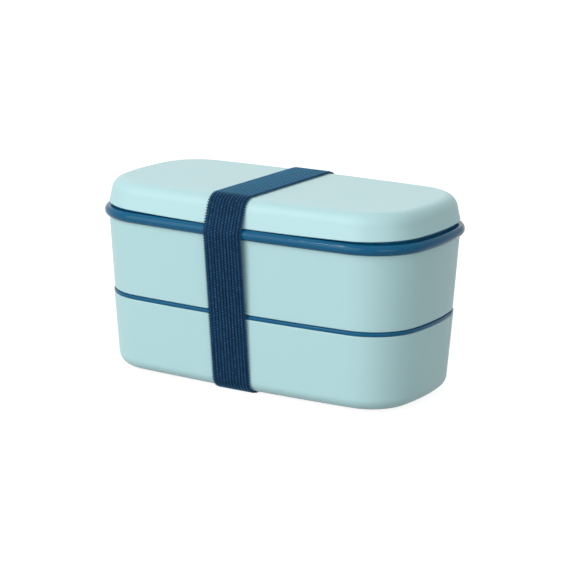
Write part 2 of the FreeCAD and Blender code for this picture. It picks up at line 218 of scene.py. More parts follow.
def makePlastic(name, finish):
    material, nodes, links, shader = startMaterial(name, finish["shader"])
    skin = nodes.new("ShaderNodeGroup")
    skin.node_tree = mouldedSkin
    for label, value in finish["skin"].items():
        skin.inputs[label].default_value = value
    bump = nodes.new("ShaderNodeBump")
    bump.inputs["Strength"].default_value = finish["grainStrength"]
    bump.inputs["Distance"].default_value = finish["grainDepth"] * mm
    links.new(skin.outputs["Height"], bump.inputs["Height"])
    links.new(bump.outputs["Normal"], shader.inputs["Normal"])
    links.new(skin.outputs["Colour"], shader.inputs["Base Color"])
    links.new(skin.outputs["Roughness"], shader.inputs["Roughness"])
    return material


plastics = {
    "aquaPlastic": {
        "skin": {"Colour": (0.440, 0.680, 0.702, 1), "Cloud Size": 14.0, "Tone Shift": 0.04,
                 "Roughness": 0.44, "Roughness Shift": 0.08, "Grain Size": 2200.0},
        "shader": {"Specular IOR Level": 0.42},
        "grainStrength": 0.25,
        "grainDepth": 0.05,
    },
    "bluePlastic": {
        "skin": {"Colour": (0.003, 0.101, 0.210, 1), "Cloud Size": 40.0, "Tone Shift": 0.12,
                 "Roughness": 0.10, "Roughness Shift": 0.06, "Grain Size": 2600.0},
        "shader": {"Specular IOR Level": 0.14},
        "grainStrength": 0.2,
        "grainDepth": 0.04,
    },
    "dividerPlastic": {
        "skin": {"Colour": (0.60, 0.77, 0.79, 1), "Cloud Size": 20.0, "Tone Shift": 0.04,
                 "Roughness": 0.5, "Roughness Shift": 0.08, "Grain Size": 2200.0},
        "shader": {"Specular IOR Level": 0.45},
        "grainStrength": 0.25,
        "grainDepth": 0.05,
    },
    "sealSilicone": {
        "skin": {"Colour": (0.74, 0.79, 0.81, 1), "Cloud Size": 60.0, "Tone Shift": 0.06,
                 "Roughness": 0.55, "Roughness Shift": 0.1, "Grain Size": 3000.0},
        "shader": {"Specular IOR Level": 0.4, "Subsurface Weight": 0.3, "Subsurface Scale": 0.002},
        "grainStrength": 0.15,
        "grainDepth": 0.03,
    },
}
plasticMaterials = {name: makePlastic(name, finish) for name, finish in plastics.items()}


weave = {
    "ribs": 11,
    "stitchPitch": 1.4,
    "rowShift": 0.5,
    "loftSpread": 0.45, "loftLeast": 0.43,
    "stitchRise": 0.9, "ribRise": 0.3,
    "wornStretch": (0.06, 1.3), "wornDetail": 2.0, "wornTone": 0.5,
    "fuzzStretch": (1.7, 1.7), "fuzzDetail": 4.0, "fuzzHeight": 0.3,
    "reliefHeight": 0.75,
    "bumpStrength": 0.8, "bumpDepth": 0.12,
    # the groove colour is painted shade in the grooves; the top colour is partly a painted highlight on the
    # raised stitches and partly lighter flecks of yarn
    "groove": (0.002, 0.010, 0.022, 1), "grooveShadeStop": 0.12,
    "rib": (0.008, 0.038, 0.094, 1), "ribTone": 0.55,
    "fleckAndHighlight": (0.034, 0.100, 0.200, 1), "fleckAndHighlightStop": 1.0,
    "roughnessSpread": 0.2, "roughnessLeast": 0.6,
    "shader": {"Specular IOR Level": 0.05, "Sheen Weight": 1.0, "Sheen Roughness": 0.3,
               "Sheen Tint": (0.16, 0.62, 1.0, 1)},
}


def makeElasticWeave(ribPitch):
    # the "weave" map runs in millimetres: along the band in U and across it in V
    material, nodes, links, shader = startMaterial("elasticWeave", weave["shader"])
    uvMap = nodes.new("ShaderNodeUVMap")
    uvMap.uv_map = "weave"
    split = nodes.new("ShaderNodeSeparateXYZ")
    links.new(uvMap.outputs["UV"], split.inputs[0])
    along, across = split.outputs["X"], split.outputs["Y"]

    def weaveMath(operation, *values):
        return mathNode(nodes, links, operation, *values)

    def arch(share):
        return weaveMath("SINE", weaveMath("MULTIPLY", share, math.pi))

    def streaks(scale, detail):
        stretch = nodes.new("ShaderNodeVectorMath")
        stretch.operation = "MULTIPLY"
        stretch.inputs[1].default_value = (*scale, 1.0)
        links.new(uvMap.outputs["UV"], stretch.inputs[0])
        noise = nodes.new("ShaderNodeTexNoise")
        noise.inputs["Scale"].default_value = 1.0
        noise.inputs["Detail"].default_value = detail
        links.new(stretch.outputs["Vector"], noise.inputs["Vector"])
        return noise.outputs["Fac"]

    # every rib is a row of stitches, set half a stitch off the row beside it, and no two stand equally high
    rib = weaveMath("DIVIDE", across, ribPitch)
    ribNumber, ribPlace = weaveMath("FLOOR", rib), weaveMath("FRACT", rib)
    stitchRun = weaveMath("DIVIDE", along, weave["stitchPitch"])
    stitch = weaveMath("MULTIPLY_ADD", ribNumber, weave["rowShift"], stitchRun)
    cell = nodes.new("ShaderNodeCombineXYZ")
    links.new(ribNumber, cell.inputs["X"])
    links.new(weaveMath("FLOOR", stitch), cell.inputs["Y"])
    chance = nodes.new("ShaderNodeTexWhiteNoise")
    chance.noise_dimensions = "2D"
    links.new(cell.outputs["Vector"], chance.inputs["Vector"])
    loft = weaveMath("MULTIPLY_ADD", chance.outputs["Value"], weave["loftSpread"], weave["loftLeast"])
    raised = weaveMath("MULTIPLY", arch(weaveMath("FRACT", stitch)), loft)
    rise = weaveMath("MULTIPLY_ADD", raised, weave["stitchRise"], weave["ribRise"])
    relief = weaveMath("MULTIPLY", weaveMath("MULTIPLY", arch(ribPlace), rise), weave["reliefHeight"])

    worn = streaks(weave["wornStretch"], weave["wornDetail"])
    fuzz = streaks(weave["fuzzStretch"], weave["fuzzDetail"])
    height = weaveMath("MULTIPLY_ADD", fuzz, weave["fuzzHeight"], relief)
    wear = weaveMath("MULTIPLY_ADD", worn, weave["wornTone"], -weave["wornTone"] / 2)
    heightShadeAndWear = weaveMath("ADD", height, wear)
    # painted shade and highlight: the ramp darkens the low places of the relief and lightens the high ones,
    # and the worn streaks add real tone on top
    ramp = nodes.new("ShaderNodeValToRGB")
    low, high = ramp.color_ramp.elements
    low.position, low.color = weave["grooveShadeStop"], weave["groove"]
    high.position, high.color = weave["fleckAndHighlightStop"], weave["fleckAndHighlight"]
    middle = ramp.color_ramp.elements.new(weave["ribTone"])
    middle.color = weave["rib"]
    links.new(heightShadeAndWear, ramp.inputs["Fac"])
    links.new(ramp.outputs["Color"], shader.inputs["Base Color"])
    rough = weaveMath("MULTIPLY_ADD", fuzz, weave["roughnessSpread"], weave["roughnessLeast"])
    links.new(rough, shader.inputs["Roughness"])
    bump = nodes.new("ShaderNodeBump")
    bump.inputs["Strength"].default_value = weave["bumpStrength"]
    bump.inputs["Distance"].default_value = weave["bumpDepth"] * mm
    links.new(height, bump.inputs["Height"])
    links.new(bump.outputs["Normal"], shader.inputs["Normal"])
    return material


print("materials made:", len(bpy.data.materials))


# sections swept round the bowed outline

outline = {
    "length": 180.0,
    "width": 88.4,
    "cornerRadius": 27.8,
    "endBow": 123.0,
    "sideBow": 1075.0,
    "cornerSteps": 30,
    "endSteps": 14,
    "sideSteps": 28,
}


def lineObject(name, points, closed=False):
    data = bpy.data.curves.new(name, "CURVE")
    data.dimensions = "3D"
    spline = data.splines.new("POLY")
    spline.points.add(len(points) - 1)
    for slot, point in zip(spline.points, points):
        slot.co = (*point, 1)
    spline.use_cyclic_u = closed
    curve = bpy.data.objects.new(name, data)
    scene.collection.objects.link(curve)
    return curve


def bowedPath():
    # eight arcs that run into each other: the two ends, the two sides and the four corners
    endMiddle = outline["length"] / 2 - outline["endBow"]
    sideMiddle = outline["width"] / 2 - outline["sideBow"]
    meets = intersect_sphere_sphere_2d(
        (endMiddle, 0), outline["endBow"] - outline["cornerRadius"],
        (0, sideMiddle), outline["sideBow"] - outline["cornerRadius"])
    corner = next(point for point in meets if point.x > 0 and point.y > 0)
    endTurn = math.atan2(corner.y, corner.x - endMiddle)
    sideTurn = math.atan2(corner.y - sideMiddle, corner.x)
    quarter = [
        ((endMiddle, 0), outline["endBow"], 0.0, endTurn, outline["endSteps"] // 2),
        (corner, outline["cornerRadius"], endTurn, sideTurn, outline["cornerSteps"]),
        ((0, sideMiddle), outline["sideBow"], sideTurn, math.pi / 2, outline["sideSteps"] // 2),
    ]
    first = []
    for centre, radius, start, stop, steps in quarter:
        for step in range(steps):
            turn = start + (stop - start) * step / steps
            first.append((centre[0] + radius * math.cos(turn), centre[1] + radius * math.sin(turn)))
    first.append((0.0, outline["width"] / 2))
    back = [(-x, y) for x, y in reversed(first[:-1])]
    upper = first + back
    lower = [(x, -y) for x, y in reversed(upper[1:-1])]
    return lineObject("bowedPath", [(x * mm, y * mm, 0) for x, y in upper + lower], closed=True)


rounding = {"hold": 0.2, "holdsToFit": 3, "stepAngle": 9.0, "leastSteps": 3}


def roundedSection(corners):
    # corners are (outset, level, radius); a round gets its arc, and where there is room a held point
    # on each side of it keeps the flats flat
    hold = rounding["hold"]
    places = [Vector(corner[:2]) for corner in corners]
    rounds = {}
    for index in range(1, len(corners) - 1):
        radius = corners[index][2]
        if radius:
            before = (places[index - 1] - places[index]).normalized()
            after = (places[index + 1] - places[index]).normalized()
            half = before.angle(after) / 2
            rounds[index] = (before, after, half, radius / math.tan(half))
    points = []
    for index, here in enumerate(places):
        if index not in rounds:
            points.append(here)
            continue
        before, after, half, setback = rounds[index]
        radius = corners[index][2]
        centre = here + (before + after).normalized() * (radius / math.sin(half))
        arm = here + before * setback - centre
        turn = math.pi - 2 * half
        if before.x * after.y - before.y * after.x > 0:
            turn = -turn
        steps = max(rounding["leastSteps"], math.ceil(abs(math.degrees(turn)) / rounding["stepAngle"]))
        arc = [centre + Matrix.Rotation(turn * step / steps, 2) @ arm for step in range(steps + 1)]
        for other, way in ((index - 1, before), (index + 1, after)):
            taken = setback + (rounds[other][3] if other in rounds else 0.0)
            if (places[other] - here).length - taken > rounding["holdsToFit"] * hold:
                held = here + way * (setback + hold)
                arc = [held] + arc if other < index else arc + [held]
        points.extend(arc)
    return points


def newTree(name, inputs):
    tree = bpy.data.node_groups.new(name, "GeometryNodeTree")
    tree.interface.new_socket("Geometry", in_out="INPUT", socket_type="NodeSocketGeometry")
    for label, kind in inputs.items():
        tree.interface.new_socket(label, in_out="INPUT", socket_type=f"NodeSocket{kind}")
    tree.interface.new_socket("Geometry", in_out="OUTPUT", socket_type="NodeSocketGeometry")
    return tree, tree.nodes.new("NodeGroupInput").outputs, tree.nodes.new("NodeGroupOutput").inputs


def objectGeometry(nodes, links, source):
    info = nodes.new("GeometryNodeObjectInfo")
    links.new(source, info.inputs["Object"])
    return info.outputs["Geometry"]


def finishTree(nodes, links, geometry, material, result):
    realize = nodes.new("GeometryNodeRealizeInstances")
    links.new(geometry, realize.inputs["Geometry"])
    paint = nodes.new("GeometryNodeSetMaterial")
    links.new(realize.outputs["Geometry"], paint.inputs["Geometry"])
    links.new(material, paint.inputs["Material"])
    links.new(paint.outputs["Geometry"], result)


def makeSweepTree():
    inputs = {"Path": "Object", "Section": "Object", "Material": "Material"}
    tree, given, result = newTree("sweptSection", inputs)
    nodes, links = tree.nodes, tree.links
    level = nodes.new("GeometryNodeSetCurveNormal")
    level.mode = "Z_UP"
    links.new(objectGeometry(nodes, links, given["Path"]), level.inputs["Curve"])
    sweep = nodes.new("GeometryNodeCurveToMesh")
    links.new(level.outputs["Curve"], sweep.inputs["Curve"])
    links.new(objectGeometry(nodes, links, given["Section"]), sweep.inputs["Profile Curve"])
    smooth = nodes.new("GeometryNodeSetShadeSmooth")
    links.new(sweep.outputs["Mesh"], smooth.inputs["Geometry"])
    finishTree(nodes, links, smooth.outputs["Geometry"], given["Material"], result["Geometry"])
    return tree


def makeArchTree():
    # lifts a lower edge towards the ends of the box and leaves what is above the fade level
    inputs = {"Rise": "Float", "Half Length": "Float", "Edge Level": "Float", "Fade Level": "Float",
              "Material": "Material"}
    tree, given, result = newTree("archedEdge", inputs)
    nodes, links = tree.nodes, tree.links
    place = nodes.new("GeometryNodeInputPosition")
    split = nodes.new("ShaderNodeSeparateXYZ")
    links.new(place.outputs["Position"], split.inputs[0])
    share = mathNode(nodes, links, "DIVIDE", split.outputs["X"], given["Half Length"])
    bow = mathNode(nodes, links, "MULTIPLY", mathNode(nodes, links, "MULTIPLY", share, share), given["Rise"])
    fade = nodes.new("ShaderNodeMapRange")
    links.new(split.outputs["Z"], fade.inputs["Value"])
    links.new(given["Edge Level"], fade.inputs["From Min"])
    links.new(given["Fade Level"], fade.inputs["From Max"])
    fade.inputs["To Min"].default_value = 1.0
    fade.inputs["To Max"].default_value = 0.0
    lift = nodes.new("ShaderNodeCombineXYZ")
    links.new(mathNode(nodes, links, "MULTIPLY", bow, fade.outputs["Result"]), lift.inputs["Z"])
    shift = nodes.new("GeometryNodeSetPosition")
    links.new(given["Geometry"], shift.inputs["Geometry"])
    links.new(lift.outputs["Vector"], shift.inputs["Offset"])
    finishTree(nodes, links, shift.outputs["Geometry"], given["Material"], result["Geometry"])
    return tree


def addTree(host, tree, values):
    modifier = host.modifiers.new(tree.name, "NODES")
    modifier.node_group = tree
    for item in tree.interface.items_tree:
        if item.in_out == "INPUT" and item.name in values:
            modifier[item.identifier] = values[item.name]


def bakedObject(name, trees):
    # a new object whose plain mesh is what the node trees make
    host = bpy.data.objects.new(f"{name}Host", bpy.data.meshes.new(f"{name}Host"))
    scene.collection.objects.link(host)
    for tree, values in trees:
        addTree(host, tree, values)
    graph = bpy.context.evaluated_depsgraph_get()
    mesh = bpy.data.meshes.new_from_object(host.evaluated_get(graph))
    mesh.name = name
    bpy.data.objects.remove(host)
    piece = bpy.data.objects.new(name, mesh)
    scene.collection.objects.link(piece)
    return piece


weldDistance = 1e-6
sharpAngle = math.radians(40)


def closeShell(mesh):
    # flat ends fill the rings that a section leaves open, and every face is turned outwards
    work = bmesh.new()
    work.from_mesh(mesh)
    bmesh.ops.remove_doubles(work, verts=work.verts, dist=weldDistance)
    rings = [edge for edge in work.edges if edge.is_boundary]
    if rings:
        bmesh.ops.holes_fill(work, edges=rings, sides=0)
    bmesh.ops.recalc_face_normals(work, faces=work.faces)
    for face in work.faces:
        face.smooth = True
    work.to_mesh(mesh)
    work.free()
    mesh.set_sharp_from_angle(angle=sharpAngle)


def install(piece, body, node):
    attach(piece, body)
    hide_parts(node)
    print("made", piece.name, len(piece.data.polygons), "faces")


sweepTree = makeSweepTree()
archTree = makeArchTree()
boxPath = bowedPath()


def sweptPiece(name, corners, material, extraTrees=()):
    points = roundedSection(corners)
    # the sweep turns a section's Y downwards, so levels go in below zero
    section = lineObject(f"{name}Section", [(point.x * mm, -point.y * mm, 0) for point in points])
    sweep = {"Path": boxPath, "Section": section, "Material": material}
    piece = bakedObject(name, [(sweepTree, sweep), *extraTrees])
    bpy.data.objects.remove(section)
    closeShell(piece.data)
    return piece


flatReach = -16.0   # how far inside the outline a flat panel starts


def leanOf(tier):
    # how far a wall moves outwards for each millimetre that it rises
    return (tier["rimOutset"] - tier["footOutset"]) / (tier["rim"] - tier["foot"])


def wallCorners(tier):
    # a tier from the outer edge of its foot, over the rim and down to the flat of its floor
    mouth = tier["rimOutset"] - tier["wall"]
    floorEdge = mouth - leanOf(tier) * (tier["rim"] - tier["floor"])
    return [
        (tier["footOutset"], tier["foot"], tier["footRound"]),
        (tier["rimOutset"], tier["rim"], tier["rimRound"]),
        (mouth, tier["rim"], tier["rimRound"]),
        (floorEdge, tier["floor"], tier["floorRound"]),
        (flatReach, tier["floor"], 0),
    ]


lowerTier = {
    "foot": 1.2, "rim": 39.85, "floor": 3.4,
    "footOutset": -3.7, "rimOutset": -0.76, "wall": 2.2,
    "footRound": 6.5, "floorRound": 3.0, "rimRound": 0.5,
    "recessOutset": -11.2, "recessDepth": 0.8, "recessHollow": 0.3, "recessRound": 0.35,
}


def makeLowerTier():
    size = lowerTier
    recess = size["foot"] + size["recessDepth"]
    piece = sweptPiece("lowerTierShell", [
        (flatReach, recess, 0),
        (size["recessOutset"], recess, size["recessHollow"]),
        (size["recessOutset"], size["foot"], size["recessRound"]),
        *wallCorners(size),
    ], plasticMaterials["aquaPlastic"])
    install(piece, "lower_tier", "lower_tier")


upperTier = {
    "stepFoot": 40.1, "foot": 42.1, "rim": 83.1, "floor": 42.3,
    "stepOutset": -6.6, "footOutset": -1.1, "rimOutset": 1.56, "wall": 2.2,
    "footRound": 0.5, "floorRound": 3.0, "rimRound": 0.6, "stepRound": 0.5, "stepHollow": 0.3,
}


def makeUpperTier():
    size = upperTier
    piece = sweptPiece("upperTierShell", [
        (flatReach, size["stepFoot"], 0),
        (size["stepOutset"], size["stepFoot"], size["stepRound"]),
        (size["stepOutset"], size["foot"], size["stepHollow"]),
        *wallCorners(size),
    ], plasticMaterials["aquaPlastic"])
    install(piece, "upper_tier", "upper_tier")


skirt = {
    "depth": 4.85, "thickness": 2.75, "taper": 0.45,
    "grooveDepth": 1.25, "grooveHeight": 2.4, "grooveLift": 1.4,
    "mouthRound": 0.2, "grooveRound": 0.15, "footRound": 0.5, "rootHollow": 0.5,
}


def skirtCorners(outer, level, panelFoot):
    # the plug of a seal lid, from the tier's mouth down to its foot, up its inner face and under the panel
    groove = outer - skirt["grooveDepth"]
    inner = outer - skirt["thickness"]
    foot = level - skirt["depth"]
    grooveFoot = foot + skirt["grooveLift"]
    grooveTop = grooveFoot + skirt["grooveHeight"]
    lean = skirt["taper"] / skirt["depth"]
    return [
        (outer, level, skirt["mouthRound"]),
        (outer - lean * (level - grooveTop), grooveTop, skirt["grooveRound"]),
        (groove, grooveTop, skirt["grooveRound"]),
        (groove, grooveFoot, skirt["grooveRound"]),
        (outer - lean * (level - grooveFoot), grooveFoot, skirt["grooveRound"]),
        (outer - skirt["taper"], foot, skirt["footRound"]),
        (inner, foot, skirt["footRound"]),
        (inner, panelFoot, skirt["rootHollow"]),
        (flatReach, panelFoot, 0),
    ]


lowerLid = {
    "rim": 39.85, "seamTop": 42.1, "seamOutset": -0.7, "seamRound": 0.6, "skirtOutset": -3.36,
    "lipTop": 41.75, "seatOutset": -1.9, "ledgeOutset": -6.2, "panelTop": 39.85, "panelFoot": 38.05,
    "ledgeHollow": 0.4, "ledgeRound": 0.3, "seatRound": 0.1,
}


def makeLowerLid():
    size = lowerLid
    piece = sweptPiece("lowerLidShell", [
        (flatReach, size["panelTop"], 0),
        (size["ledgeOutset"], size["panelTop"], size["ledgeHollow"]),
        (size["ledgeOutset"], size["seamTop"], size["ledgeRound"]),
        (size["seatOutset"], size["seamTop"], size["seatRound"]),
        (size["seatOutset"], size["lipTop"], size["seatRound"]),
        (size["seamOutset"], size["lipTop"], size["seamRound"]),
        (size["seamOutset"], size["rim"], size["seamRound"]),
        *skirtCorners(size["skirtOutset"], size["rim"], size["panelFoot"]),
    ], plasticMaterials["bluePlastic"])
    install(piece, "lower_lid", "lower_lid")


innerLid = {
    "slotTop": 83.4, "slotOutset": 1.86, "lipFoot": 80.75, "lipRound": 0.12, "skirtOutset": -1.04,
    "beadLevel": 83.05, "beadOutset": 1.1, "beadRadius": 2.75, "beadSteps": 22,
    "upstandOuter": -0.95, "upstandInner": -2.6, "upstandTop": 89.2,
    "upstandHollow": 0.6, "upstandRound": 0.5, "crestHollow": 0.4, "slotHollow": 0.2,
    "panelTop": 84.15, "panelFoot": 82.35,
}


def makeInnerLid():
    size = innerLid
    crest = size["beadLevel"] + size["beadRadius"]
    lipTurn = math.asin((size["lipFoot"] - size["beadLevel"]) / size["beadRadius"])
    bead = []
    for step in range(size["beadSteps"] + 1):
        turn = math.pi / 2 + (lipTurn - math.pi / 2) * step / size["beadSteps"]
        bead.append((size["beadOutset"] + size["beadRadius"] * math.cos(turn),
                     size["beadLevel"] + size["beadRadius"] * math.sin(turn),
                     size["lipRound"] if step == size["beadSteps"] else 0))
    piece = sweptPiece("innerLidShell", [
        (flatReach, size["panelTop"], 0),
        (size["upstandInner"], size["panelTop"], size["upstandHollow"]),
        (size["upstandInner"], size["upstandTop"], size["upstandRound"]),
        (size["upstandOuter"], size["upstandTop"], size["upstandRound"]),
        (size["upstandOuter"], crest, size["crestHollow"]),
        *bead,
        (size["slotOutset"], size["lipFoot"], 0),
        (size["slotOutset"], size["slotTop"], size["slotHollow"]),
        *skirtCorners(size["skirtOutset"], size["slotTop"], size["panelFoot"]),
    ], plasticMaterials["bluePlastic"])
    install(piece, "inner_lid", "inner_lid")


seal = {"play": 0.05, "backRound": 0.15, "lipRound": 0.25}


def makeSeal(name, body, node, outer, level):
    # a silicone ring whose lip points at the tier's wall
    # its section starts and ends at the middle of its back
    foot = level - skirt["depth"] + skirt["grooveLift"] + seal["play"]
    top = foot + skirt["grooveHeight"] - 2 * seal["play"]
    middle = (foot + top) / 2
    back = outer - skirt["grooveDepth"] + seal["play"]
    cheek = outer - skirt["grooveDepth"] / 2
    piece = sweptPiece(name, [
        (back, middle, 0),
        (back, foot, seal["backRound"]),
        (cheek, foot, seal["lipRound"]),
        (outer - skirt["taper"] / 2, middle, seal["lipRound"]),
        (cheek, top, seal["lipRound"]),
        (back, top, seal["backRound"]),
        (back, middle, 0),
    ], plasticMaterials["sealSilicone"])
    install(piece, body, node)


cover = {
    "foot": 86.05, "top": 100.3, "ceiling": 98.1, "seat": 89.2,
    "footOutset": 1.5, "topOutset": -1.14, "shoulderRound": 7.25,
    "mouthOutset": -0.55, "ledgeOutset": -2.4, "ceilingRound": 3.6, "edgeRound": 0.4,
    "seatHollow": 0.2, "seatRound": 0.3,
    "archRise": 1.5, "archFade": 89.0,
}


def makeCover():
    size = cover
    lean = (size["topOutset"] - size["footOutset"]) / (size["top"] - size["foot"])
    ceilingEdge = size["ledgeOutset"] + lean * (size["ceiling"] - size["seat"])
    arch = {
        "Rise": size["archRise"] * mm,
        "Half Length": (outline["length"] / 2 + size["footOutset"]) * mm,
        "Edge Level": (size["foot"] + size["edgeRound"]) * mm,
        "Fade Level": size["archFade"] * mm,
        "Material": plasticMaterials["aquaPlastic"],
    }
    piece = sweptPiece("coverShell", [
        (flatReach, size["top"], 0),
        (size["topOutset"], size["top"], size["shoulderRound"]),
        (size["footOutset"], size["foot"], size["edgeRound"]),
        (size["mouthOutset"], size["foot"], size["edgeRound"]),
        (size["mouthOutset"], size["seat"], size["seatHollow"]),
        (size["ledgeOutset"], size["seat"], size["seatRound"]),
        (ceilingEdge, size["ceiling"], size["ceilingRound"]),
        (flatReach, size["ceiling"], 0),
    ], plasticMaterials["aquaPlastic"], [(archTree, arch)])
    install(piece, "outer_lid", "outer_lid")


makeLowerTier()
makeUpperTier()
makeLowerLid()
makeInnerLid()
makeSeal("lowerSealRing", "lower_lid", "lower_lid_seal", lowerLid["skirtOutset"], lowerLid["rim"])
makeSeal("innerSealRing", "inner_lid", "inner_lid_seal", innerLid["skirtOutset"], innerLid["slotTop"])
makeCover()


# dividers

divider = {
    "place": 18.0, "frame": 8.0, "web": 1.6, "edge": 1.5, "sideGap": 1.2, "corner": 5.0,
    "cornerSteps": 8, "seatGap": 0.1, "headGap": 5.45, "edgeRound": 0.35, "edgeSteps": 3,
}


def makeDivider(name, body, tier, node):
    # a web with a frame along its foot and sides; it follows the drafted walls of its tier
    size = divider
    mouthHalf = outline["width"] / 2 + tier["rimOutset"] - tier["wall"] - size["sideGap"]
    low = tier["floor"] + size["seatGap"]
    head = tier["rim"] - size["headGap"]

    def frameLine(inset):
        def halfAt(level):
            return mouthHalf - leanOf(tier) * (tier["rim"] - level) - inset

        foot = low + inset
        centreLevel = foot + size["corner"]
        centre = halfAt(centreLevel) - size["corner"]
        line = [(halfAt(head), head)]
        for step in range(size["cornerSteps"] + 1):
            turn = math.pi / 2 * step / size["cornerSteps"]
            line.append((centre + size["corner"] * math.cos(turn),
                         centreLevel - size["corner"] * math.sin(turn)))
        return line + [(-y, z) for y, z in reversed(line)]

    layers = [
        (frameLine(0.0), -size["frame"] / 2),
        (frameLine(0.0), size["frame"] / 2),
        (frameLine(size["edge"]), size["frame"] / 2),
        (frameLine(size["edge"]), size["web"] / 2),
        (frameLine(size["edge"]), -size["web"] / 2),
        (frameLine(size["edge"]), -size["frame"] / 2),
    ]
    work = bmesh.new()
    rows = []
    for line, aside in layers:
        rows.append([work.verts.new(((size["place"] + aside) * mm, y * mm, z * mm)) for y, z in line])
    # the web fills its two rows, and only its head runs between them
    webRight, webLeft = (row for row, layer in zip(rows, layers) if abs(layer[1]) == size["web"] / 2)
    for row, following in zip(rows, rows[1:] + rows[:1]):
        if row is webRight:
            continue
        for step in range(len(row) - 1):
            work.faces.new((row[step], row[step + 1], following[step + 1], following[step]))
    work.faces.new(webRight)
    work.faces.new(webLeft)
    work.faces.new((webRight[0], webRight[-1], webLeft[-1], webLeft[0]))
    for end in (0, -1):
        work.faces.new([row[end] for row in rows])
    bmesh.ops.recalc_face_normals(work, faces=work.faces)
    mesh = bpy.data.meshes.new(name)
    work.to_mesh(mesh)
    work.free()
    mesh.materials.append(plasticMaterials["dividerPlastic"])
    piece = bpy.data.objects.new(name, mesh)
    scene.collection.objects.link(piece)
    bevel = piece.modifiers.new("softEdges", "BEVEL")
    bevel.width = size["edgeRound"] * mm
    bevel.segments = size["edgeSteps"]
    bevel.limit_method = "ANGLE"
    bevel.angle_limit = sharpAngle
    bevel.harden_normals = True
    mesh.shade_smooth()
    install(piece, body, node)


makeDivider("lowerDividerPlate", "lower_divider", lowerTier, "lower_divider")
makeDivider("upperDividerPlate", "upper_divider", upperTier, "upper_divider")


# elastic band

band = {
    "shift": -4.2, "lean": -0.0168, "wovenWidth": 20.9, "thickness": 1.0, "gap": 0.2,
    "ribDepth": 0.24, "ribPoints": 8, "innerChamfer": 0.2,
    "picotPitch": 1.4, "picotReach": 0.8, "picotLength": 0.3, "picotYarn": 0.24,
    "picotPoints": 7, "yarnSides": 5,
    "bendStep": 5.0, "leastSteps": 2, "hold": 0.6,
}


def bandBends():
    # middle across, level and radius of the band's middle line round the foot, the thick rim and the shoulder
    half = outline["width"] / 2
    off = band["gap"] + band["thickness"] / 2

    def roundMiddle(outset, lean, radius):
        return half + outset + radius * (lean - math.sqrt(1 + lean * lean))

    heel = roundMiddle(lowerTier["footOutset"], leanOf(lowerTier), lowerTier["footRound"])
    coverLean = (cover["footOutset"] - cover["topOutset"]) / (cover["top"] - cover["foot"])
    shoulder = roundMiddle(cover["topOutset"], coverLean, cover["shoulderRound"])
    return [
        (heel, lowerTier["foot"] + lowerTier["footRound"], lowerTier["footRound"] + off),
        (half + innerLid["beadOutset"], innerLid["beadLevel"], innerLid["beadRadius"] + off),
        (shoulder, cover["top"] - cover["shoulderRound"], cover["shoulderRound"] + off),
    ]


def bandPath():
    # taut round the bends: under the base to the back, up, over the cover and down the front
    rounds = bandBends()
    rounds += [(-across, level, radius) for across, level, radius in reversed(rounds)]
    middles = [Vector(bend[:2]) for bend in rounds]
    radii = [bend[2] for bend in rounds]
    outward = []
    for index, radius in enumerate(radii):
        after = (index + 1) % len(radii)
        run = middles[after] - middles[index]
        lean = math.asin((radius - radii[after]) / run.length)
        outward.append(math.atan2(run.y, run.x) - math.pi / 2 + lean)
    points = []
    for index, radius in enumerate(radii):
        start, stop = outward[index - 1], outward[index]
        turn = (stop - start) % (2 * math.pi)
        steps = max(band["leastSteps"], math.ceil(math.degrees(turn) / band["bendStep"]))
        arc = []
        for step in range(steps + 1):
            angle = start + turn * step / steps
            arc.append(middles[index] + radius * Vector((math.cos(angle), math.sin(angle))))
        into = Vector((-math.sin(start), math.cos(start)))
        out = Vector((-math.sin(stop), math.cos(stop)))
        points += [arc[0] - into * band["hold"], *arc, arc[-1] + out * band["hold"]]
    middle = Vector((0, points[0].y))
    halfHeight = cover["top"] / 2
    loop = []
    for point in [middle, *points, middle]:
        aside = band["shift"] + band["lean"] * (point.y - halfHeight)
        loop.append((aside * mm, point.x * mm, point.y * mm))
    return lineObject("bandPath", loop)


def bandSection(halfWidth, ribPitch):
    # ribs on the outer face and a flat inner face; it starts and ends at the left edge
    outer = band["thickness"] / 2
    chamfer = band["innerChamfer"]
    points = []
    for rib in range(weave["ribs"]):
        for step in range(band["ribPoints"]):
            share = step / band["ribPoints"]
            place = -halfWidth + (rib + share) * ribPitch
            points.append((place, outer - band["ribDepth"] * (1 - math.sin(math.pi * share))))
    points.append((halfWidth, outer - band["ribDepth"]))
    points += [
        (halfWidth, -outer + chamfer),
        (halfWidth - chamfer, -outer),
        (-halfWidth + chamfer, -outer),
        (-halfWidth, -outer + chamfer),
        points[0],
    ]
    return lineObject("bandSection", [(x * mm, y * mm, 0) for x, y in points])


